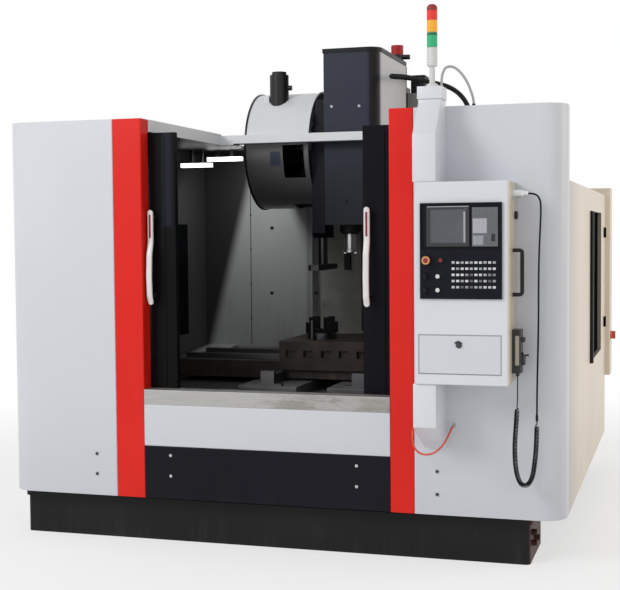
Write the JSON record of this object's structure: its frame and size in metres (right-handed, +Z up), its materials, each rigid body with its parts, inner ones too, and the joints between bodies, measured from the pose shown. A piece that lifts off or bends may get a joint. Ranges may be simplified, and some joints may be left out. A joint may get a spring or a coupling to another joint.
{
  "type": "vertical machining centre",
  "caption": "Enclosed vertical machining centre with sliding doors, cross-slide table, vertical spindle head, disc tool magazine and hanging control pendant.",
  "frame": {"origin": "on the floor under the middle of the whole machine without its hanging cables", "axes": "+X to the right seen from the front, +Y to the rear away from the operator, +Z up"},
  "size_m": [3.119, 3.47, 2.95],
  "materials": {
    "white_paint": "satin",
    "red_paint": "satin",
    "navy_paint": "satin",
    "black_paint": "satin",
    "grey_paint": "satin",
    "pale_grey_paint": "satin",
    "grey_casting": "matte",
    "brown_casting": "matte",
    "table_iron": "satin",
    "bright_steel": "satin",
    "stainless": "satin",
    "dark_steel": "satin",
    "aluminium": "satin",
    "dark_glass": "polished",
    "clear_glass": "polished",
    "black_plastic": "matte",
    "white_plastic": "gloss",
    "red_plastic": "gloss",
    "lens_plastic": "gloss",
    "black_rubber": "matte",
    "lamp_cover": "gloss"
  },
  "bodies": {
    "frame": {"coolant_tank": "black_paint", "feet_and_bolts": "dark_steel", "bed": "grey_casting", "column": "grey_casting", "guide_rails": "bright_steel", "feed_motors": "black_paint", "left_front_panel": "white_paint", "right_front_panel": "white_paint", "red_posts": "red_paint", "lower_front_panel": "white_paint", "kick_panel": "navy_paint", "door_sill": "stainless", "side_panels": "white_paint", "side_window": "dark_glass", "inner_walls": "grey_paint", "roof_frame": "white_paint", "work_lamps": "lamp_cover", "pendant_duct": "white_paint", "pendant_housing": "white_paint", "control_fascia": "black_plastic", "screen_glass": "dark_glass", "panel_keys": "white_plastic", "side_handle": "black_plastic", "handwheel_unit": "black_plastic", "cable_plug": "aluminium", "handwheel_cable": "black_rubber", "curly_cable": "black_rubber", "air_hose": "red_plastic", "signal_tower": "lens_plastic", "conduits": "black_rubber", "electrical_cabinet": "white_paint", "magazine_cover": "pale_grey_paint", "exchange_gearbox": "navy_paint"},
    "stop_button": {"stop_button": "red_plastic"},
    "red_button": {"red_button": "red_plastic"},
    "upper_white_button": {"upper_white_button": "white_plastic"},
    "lower_white_button": {"lower_white_button": "white_plastic"},
    "upper_selector": {"upper_selector": "black_plastic"},
    "lower_selector": {"lower_selector": "black_plastic"},
    "pendant_flap": {"pendant_flap": "white_paint"},
    "flap_latch": {"flap_latch": "dark_steel"},
    "handwheel_dial": {"handwheel_dial": "black_plastic"},
    "cabinet_door": {"cabinet_door": "white_paint"},
    "main_switch": {"main_switch": "red_plastic"},
    "carousel": {"carousel": "bright_steel"},
    "exchange_sleeve": {"exchange_sleeve": "bright_steel"},
    "exchange_arm": {"exchange_arm": "bright_steel"},
    "spindle": {"spindle": "bright_steel"},
    "head": {"head_casting": "grey_casting", "head_cover": "navy_paint"},
    "saddle": {"saddle": "brown_casting", "x_guide_rails": "bright_steel"},
    "table": {"table": "table_iron", "clamp_fixture": "dark_steel"},
    "left_door": {"left_door": "navy_paint", "left_window": "clear_glass", "left_handle": "white_plastic"},
    "right_door": {"right_door": "navy_paint", "right_window": "clear_glass", "right_handle": "white_plastic"}
  },
  "joints": [
    {"name": "left_door_slide", "type": "slide", "parent": "frame", "child": "left_door", "axis": [1, 0, 0], "range_m": [0, 0.519]},
    {"name": "right_door_slide", "type": "slide", "parent": "frame", "child": "right_door", "axis": [-1, 0, 0], "range_m": [0, 0.519]},
    {"name": "saddle_feed", "type": "slide", "parent": "frame", "child": "saddle", "axis": [0, 1, 0], "range_m": [-0.03, 0.57]},
    {"name": "table_feed", "type": "slide", "parent": "saddle", "child": "table", "axis": [1, 0, 0], "range_m": [-0.864, 0.136]},
    {"name": "head_feed", "type": "slide", "parent": "frame", "child": "head", "axis": [0, 0, 1], "range_m": [-0.34, 0.25]},
    {"name": "spindle_turn", "type": "hinge", "parent": "head", "child": "spindle", "pos_m": [0.0305, 0.007, 1.548], "axis": [0, 0, 1], "continuous": true},
    {"name": "carousel_turn", "type": "hinge", "parent": "frame", "child": "carousel", "pos_m": [-0.4945, 0.227, 2.2], "axis": [1, 0, 0], "continuous": true},
    {"name": "exchange_drop", "type": "slide", "parent": "frame", "child": "exchange_sleeve", "axis": [0, 0, 1], "range_m": [-0.12, 0]},
    {"name": "exchange_swing", "type": "hinge", "parent": "exchange_sleeve", "child": "exchange_arm", "pos_m": [-0.1505, 0.007, 1.457], "axis": [0, 0, 1], "range_deg": [0, 90]},
    {"name": "stop_press", "type": "slide", "parent": "frame", "child": "stop_button", "axis": [0, 1, 0], "range_m": [0, 0.006], "stiffness_N_per_m": 1500},
    {"name": "red_press", "type": "slide", "parent": "frame", "child": "red_button", "axis": [0, 1, 0], "range_m": [0, 0.004], "stiffness_N_per_m": 800},
    {"name": "upper_white_press", "type": "slide", "parent": "frame", "child": "upper_white_button", "axis": [0, 1, 0], "range_m": [0, 0.004], "stiffness_N_per_m": 800},
    {"name": "lower_white_press", "type": "slide", "parent": "frame", "child": "lower_white_button", "axis": [0, 1, 0], "range_m": [0, 0.004], "stiffness_N_per_m": 800},
    {"name": "upper_selector_turn", "type": "hinge", "parent": "frame", "child": "upper_selector", "pos_m": [0.8635, -1.713, 1.459], "axis": [0, 1, 0], "range_deg": [-60, 60]},
    {"name": "lower_selector_turn", "type": "hinge", "parent": "frame", "child": "lower_selector", "pos_m": [0.8635, -1.713, 1.394], "axis": [0, 1, 0], "range_deg": [-60, 60]},
    {"name": "flap_hinge", "type": "hinge", "parent": "frame", "child": "pendant_flap", "pos_m": [1.023, -1.69115, 0.99685], "axis": [1, 0, 0], "range_deg": [0, 95]},
    {"name": "flap_latch_turn", "type": "hinge", "parent": "pendant_flap", "child": "flap_latch", "pos_m": [1.0195, -1.696, 1.133], "axis": [0, 1, 0], "range_deg": [0, 90]},
    {"name": "handwheel_turn", "type": "hinge", "parent": "frame", "child": "handwheel_dial", "pos_m": [1.3055, -1.529, 1.058], "axis": [1, 0, 0], "continuous": true},
    {"name": "cabinet_door_hinge", "type": "hinge", "parent": "frame", "child": "cabinet_door", "pos_m": [1.5175, 1.707, 1.31], "axis": [0, 0, -1], "range_deg": [0, 110]},
    {"name": "main_switch_turn", "type": "hinge", "parent": "frame", "child": "main_switch", "pos_m": [1.5355, 1.557, 0.93], "axis": [1, 0, 0], "range_deg": [0, 90]}
  ]
}
